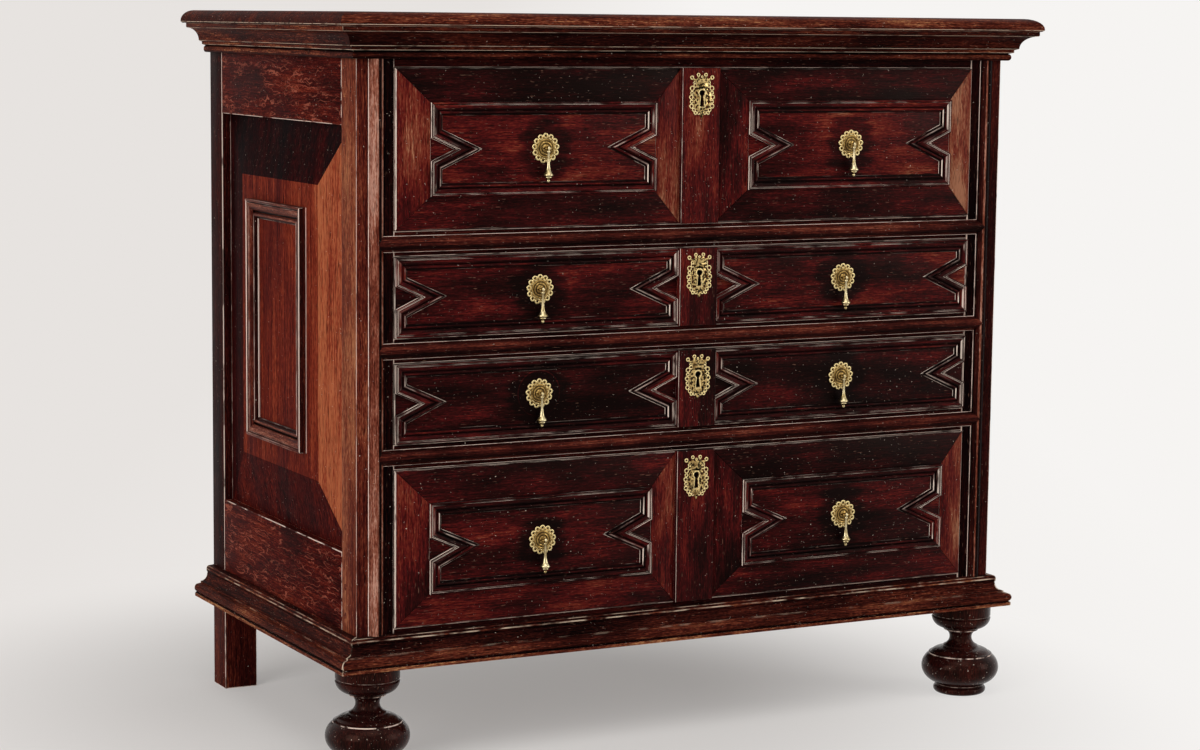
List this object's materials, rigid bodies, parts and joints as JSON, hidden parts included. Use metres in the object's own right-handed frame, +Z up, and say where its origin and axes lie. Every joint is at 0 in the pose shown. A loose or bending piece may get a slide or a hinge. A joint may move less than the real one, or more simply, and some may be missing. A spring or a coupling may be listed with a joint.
{
  "type": "chest of drawers",
  "caption": "Joined oak chest with long drawers, mitred geometric mouldings, framed sides, brass drop pulls, turned front feet and square rear legs; drawers slide, pulls swing",
  "frame": {"origin": "centre of the overall box at floor level", "axes": "X to the right along the width, Y from the drawer fronts to the back, Z up"},
  "size_m": [1.016, 0.565, 0.928],
  "materials": {
    "oak_frame": "dark stained oak, waxed",
    "oak_panel": "red-brown stained oak, waxed",
    "oak_moulding": "dark stained oak, worn arrises",
    "oak_inside": "dry unstained oak",
    "brass": "worn pale brass",
    "iron": "dark forged iron"
  },
  "bodies": {
    "case": {"top_board": "oak_panel", "cornice": "oak_moulding", "front_stile_left": "oak_frame", "front_stile_right": "oak_frame", "rear_stile_left": "oak_frame", "rear_stile_right": "oak_frame", "side_rails_left": "oak_frame", "side_rails_right": "oak_frame", "side_panel_left": "oak_panel", "side_panel_right": "oak_panel", "side_moulding_left": "oak_moulding", "side_moulding_right": "oak_moulding", "front_top_rail": "oak_frame", "drawer_rails": "oak_frame", "front_bottom_rail": "oak_frame", "stile_mouldings": "oak_moulding", "rail_mouldings": "oak_moulding", "back_frame": "oak_frame", "back_panels": "oak_panel", "base_moulding": "oak_moulding", "turned_foot_left": "oak_moulding", "turned_foot_right": "oak_moulding", "drawer_runners": "oak_inside", "joint_pegs": "oak_frame"},
    "drawer_1": {"drawer_1_front": "oak_panel", "drawer_1_box": "oak_inside", "drawer_1_facing": "oak_moulding", "drawer_1_pull_plates": "brass", "drawer_1_escutcheon": "brass", "drawer_1_lock": "iron"},
    "drawer_1_left_drop": {"drawer_1_drop_left": "brass"},
    "drawer_1_right_drop": {"drawer_1_drop_right": "brass"},
    "drawer_1_lock_bolt": {"drawer_1_bolt": "iron"},
    "drawer_2": {"drawer_2_front": "oak_panel", "drawer_2_box": "oak_inside", "drawer_2_facing": "oak_moulding", "drawer_2_pull_plates": "brass", "drawer_2_escutcheon": "brass", "drawer_2_lock": "iron"},
    "drawer_2_left_drop": {"drawer_2_drop_left": "brass"},
    "drawer_2_right_drop": {"drawer_2_drop_right": "brass"},
    "drawer_2_lock_bolt": {"drawer_2_bolt": "iron"},
    "drawer_3": {"drawer_3_front": "oak_panel", "drawer_3_box": "oak_inside", "drawer_3_facing": "oak_moulding", "drawer_3_pull_plates": "brass", "drawer_3_escutcheon": "brass", "drawer_3_lock": "iron"},
    "drawer_3_left_drop": {"drawer_3_drop_left": "brass"},
    "drawer_3_right_drop": {"drawer_3_drop_right": "brass"},
    "drawer_3_lock_bolt": {"drawer_3_bolt": "iron"},
    "drawer_4": {"drawer_4_front": "oak_panel", "drawer_4_box": "oak_inside", "drawer_4_facing": "oak_moulding", "drawer_4_pull_plates": "brass", "drawer_4_escutcheon": "brass", "drawer_4_lock": "iron"},
    "drawer_4_left_drop": {"drawer_4_drop_left": "brass"},
    "drawer_4_right_drop": {"drawer_4_drop_right": "brass"},
    "drawer_4_lock_bolt": {"drawer_4_bolt": "iron"}
  },
  "joints": [
    {"name": "drawer_1_slide", "type": "slide", "parent": "case", "child": "drawer_1", "axis": [0, -1, 0], "range_m": [0, 0.33]},
    {"name": "drawer_1_left_drop_hinge", "type": "hinge", "parent": "drawer_1", "child": "drawer_1_left_drop", "pos_m": [-0.22325, -0.26, 0.763], "axis": [-1, 0, 0], "range_deg": [-3, 150]},
    {"name": "drawer_1_right_drop_hinge", "type": "hinge", "parent": "drawer_1", "child": "drawer_1_right_drop", "pos_m": [0.22325, -0.26, 0.763], "axis": [-1, 0, 0], "range_deg": [-3, 150]},
    {"name": "drawer_1_lock_bolt_slide", "type": "slide", "parent": "drawer_1", "child": "drawer_1_lock_bolt", "axis": [0, 0, 1], "range_m": [0, 0.009]},
    {"name": "drawer_2_slide", "type": "slide", "parent": "case", "child": "drawer_2", "axis": [0, -1, 0], "range_m": [0, 0.33]},
    {"name": "drawer_2_left_drop_hinge", "type": "hinge", "parent": "drawer_2", "child": "drawer_2_left_drop", "pos_m": [-0.22325, -0.2475, 0.587], "axis": [-1, 0, 0], "range_deg": [-3, 150]},
    {"name": "drawer_2_right_drop_hinge", "type": "hinge", "parent": "drawer_2", "child": "drawer_2_right_drop", "pos_m": [0.22325, -0.2475, 0.587], "axis": [-1, 0, 0], "range_deg": [-3, 150]},
    {"name": "drawer_2_lock_bolt_slide", "type": "slide", "parent": "drawer_2", "child": "drawer_2_lock_bolt", "axis": [0, 0, 1], "range_m": [0, 0.009]},
    {"name": "drawer_3_slide", "type": "slide", "parent": "case", "child": "drawer_3", "axis": [0, -1, 0], "range_m": [0, 0.33]},
    {"name": "drawer_3_left_drop_hinge", "type": "hinge", "parent": "drawer_3", "child": "drawer_3_left_drop", "pos_m": [-0.22325, -0.2475, 0.456], "axis": [-1, 0, 0], "range_deg": [-3, 150]},
    {"name": "drawer_3_right_drop_hinge", "type": "hinge", "parent": "drawer_3", "child": "drawer_3_right_drop", "pos_m": [0.22325, -0.2475, 0.456], "axis": [-1, 0, 0], "range_deg": [-3, 150]},
    {"name": "drawer_3_lock_bolt_slide", "type": "slide", "parent": "drawer_3", "child": "drawer_3_lock_bolt", "axis": [0, 0, 1], "range_m": [0, 0.009]},
    {"name": "drawer_4_slide", "type": "slide", "parent": "case", "child": "drawer_4", "axis": [0, -1, 0], "range_m": [0, 0.33]},
    {"name": "drawer_4_left_drop_hinge", "type": "hinge", "parent": "drawer_4", "child": "drawer_4_left_drop", "pos_m": [-0.22325, -0.26, 0.272], "axis": [-1, 0, 0], "range_deg": [-3, 150]},
    {"name": "drawer_4_right_drop_hinge", "type": "hinge", "parent": "drawer_4", "child": "drawer_4_right_drop", "pos_m": [0.22325, -0.26, 0.272], "axis": [-1, 0, 0], "range_deg": [-3, 150]},
    {"name": "drawer_4_lock_bolt_slide", "type": "slide", "parent": "drawer_4", "child": "drawer_4_lock_bolt", "axis": [0, 0, 1], "range_m": [0, 0.009]}
  ]
}
